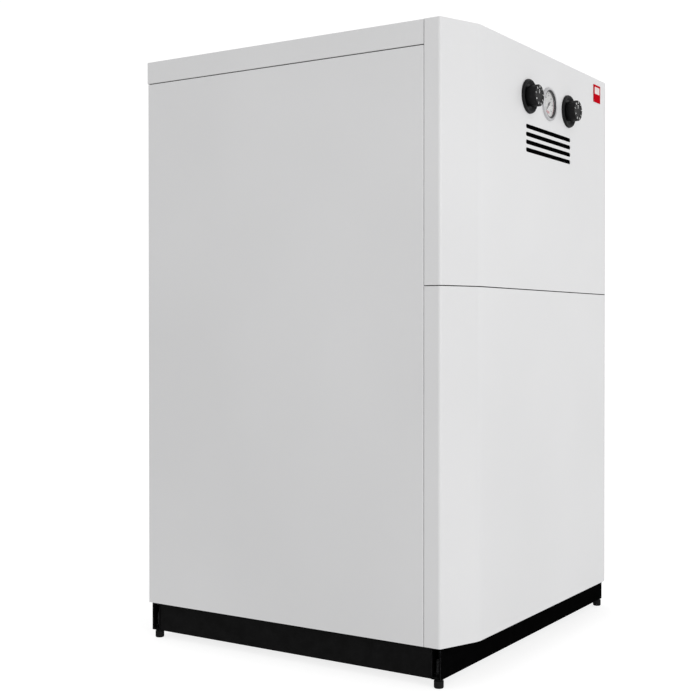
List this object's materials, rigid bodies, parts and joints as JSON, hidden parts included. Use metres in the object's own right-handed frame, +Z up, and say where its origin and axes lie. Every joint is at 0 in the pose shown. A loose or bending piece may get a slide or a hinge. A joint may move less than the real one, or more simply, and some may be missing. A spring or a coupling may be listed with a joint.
{
  "type": "floor-standing gas boiler with atmospheric burner assembly",
  "caption": "Floor-standing gas boiler in a light grey steel casing on a low black base, with control knobs, a round gauge and air slots, and a burner under a cast-iron heat exchanger.",
  "frame": {"origin": "centre of the overall footprint, knobs and flue spigot included, at floor level", "axes": "+X to the right seen from the front, -Y out of the front, +Z up"},
  "size_m": [0.7, 0.738, 1.066],
  "materials": {
    "casing_paint": "light grey textured powder coat",
    "base_paint": "gloss black paint",
    "black_plastic": "fine satin black moulding",
    "grey_plastic": "satin silver-grey moulding",
    "badge_red": "gloss red",
    "zinc_steel": "zinc-plated sheet, satin",
    "stainless": "stainless sheet, satin",
    "bright_steel": "plated fasteners",
    "cast_iron": "rough grey casting, matt black coat",
    "pipe_steel": "black steel pipe, thin paint",
    "brass": "machined",
    "copper": "drawn copper tube",
    "alu_cast": "die-cast, matt",
    "wool": "foil-faced mineral wool",
    "ceramic_board": "ceramic fibre board",
    "ceramic_white": "glazed insulator and wire",
    "glass": "clear",
    "dial_card": "printed light grey dial",
    "red_plastic": "red moulding",
    "rubber": "black rubber pad"
  },
  "bodies": {
    "boiler": {"base_channels": "base_paint", "base_rails": "base_paint", "base_deck": "zinc_steel", "side_panel_left": "casing_paint", "side_panel_right": "casing_paint", "back_panel": "zinc_steel", "upper_front_panel": "casing_paint", "name_badge": "badge_red", "inner_frame": "zinc_steel", "casing_screws": "bright_steel", "panel_clips": "black_plastic", "section_left_end": "cast_iron", "section_right_end": "cast_iron", "middle_sections": "cast_iron", "section_nipples": "pipe_steel", "tie_rods": "bright_steel", "port_plugs": "pipe_steel", "flow_and_return_pipes": "pipe_steel", "insulation_panels": "wool", "flue_collector": "zinc_steel", "cleaning_cover": "zinc_steel", "draught_diverter": "zinc_steel", "flue_spigot": "zinc_steel", "combustion_chamber": "zinc_steel", "chamber_boards": "ceramic_board", "burner_front_plate": "zinc_steel", "sight_glass": "glass", "burner_tubes": "stainless", "gas_manifold": "pipe_steel", "injectors": "brass", "gas_valve": "alu_cast", "gas_supply_pipe": "pipe_steel", "pilot_burner": "stainless", "thermocouple": "copper", "ignition_electrode": "ceramic_white", "pilot_tube": "alu_cast", "piezo_body": "black_plastic", "drain_cock": "brass", "control_bracket": "zinc_steel", "thermostats": "grey_plastic", "knob_bezels": "black_plastic", "gauge_body": "grey_plastic", "gauge_dial": "dial_card", "gauge_glass": "glass", "capillary_tubes": "copper"},
    "foot_front_left": {"foot_front_left": "rubber"},
    "foot_front_right": {"foot_front_right": "rubber"},
    "foot_rear_left": {"foot_rear_left": "rubber"},
    "foot_rear_right": {"foot_rear_right": "rubber"},
    "lower_front": {"lower_front_panel": "casing_paint", "panel_studs": "bright_steel"},
    "top": {"top_cover": "casing_paint"},
    "knob_left": {"knob_left": "black_plastic"},
    "knob_right": {"knob_right": "black_plastic"},
    "needle": {"gauge_needle": "black_plastic"},
    "valve_spindle": {"valve_spindle": "bright_steel"},
    "valve_knob": {"valve_knob": "black_plastic"},
    "ignition_button": {"piezo_button": "red_plastic"},
    "sight_flap": {"sight_flap": "bright_steel"},
    "drain_lever": {"drain_lever": "red_plastic"}
  },
  "joints": [
    {"name": "foot_front_left_height", "type": "slide", "parent": "boiler", "child": "foot_front_left", "axis": [0, 0, -1], "range_m": [0, 0.018]},
    {"name": "foot_front_right_height", "type": "slide", "parent": "boiler", "child": "foot_front_right", "axis": [0, 0, -1], "range_m": [0, 0.018]},
    {"name": "foot_rear_left_height", "type": "slide", "parent": "boiler", "child": "foot_rear_left", "axis": [0, 0, -1], "range_m": [0, 0.018]},
    {"name": "foot_rear_right_height", "type": "slide", "parent": "boiler", "child": "foot_rear_right", "axis": [0, 0, -1], "range_m": [0, 0.018]},
    {"name": "lower_front_pull", "type": "slide", "parent": "boiler", "child": "lower_front", "axis": [0, -1, 0], "range_m": [0, 0.15]},
    {"name": "top_cover_lift", "type": "slide", "parent": "boiler", "child": "top", "axis": [0, 0, 1], "range_m": [0, 0.08]},
    {"name": "knob_left_turn", "type": "hinge", "parent": "boiler", "child": "knob_left", "pos_m": [-0.086, -0.36, 0.98], "axis": [0, 1, 0], "range_deg": [0, 270]},
    {"name": "knob_right_turn", "type": "hinge", "parent": "boiler", "child": "knob_right", "pos_m": [0.086, -0.36, 0.98], "axis": [0, 1, 0], "range_deg": [0, 270]},
    {"name": "needle_turn", "type": "hinge", "parent": "boiler", "child": "needle", "pos_m": [0, -0.348, 0.98], "axis": [0, 1, 0], "range_deg": [0, 270]},
    {"name": "valve_knob_press", "type": "slide", "parent": "boiler", "child": "valve_spindle", "axis": [0, 1, 0], "range_m": [0, 0.003], "stiffness_N_per_m": 800},
    {"name": "valve_knob_turn", "type": "hinge", "parent": "valve_spindle", "child": "valve_knob", "pos_m": [-0.14, -0.325, 0.3], "axis": [0, 1, 0], "range_deg": [0, 90]},
    {"name": "ignition_button_press", "type": "slide", "parent": "boiler", "child": "ignition_button", "axis": [0, 1, 0], "range_m": [0, 0.006], "stiffness_N_per_m": 1200},
    {"name": "sight_flap_swing", "type": "hinge", "parent": "boiler", "child": "sight_flap", "pos_m": [0.132, -0.193, 0.284], "axis": [0, 1, 0], "range_deg": [0, 100]},
    {"name": "drain_lever_turn", "type": "hinge", "parent": "boiler", "child": "drain_lever", "pos_m": [0.22, -0.25, 0.375], "axis": [0, 0, 1], "range_deg": [0, 90]}
  ]
}
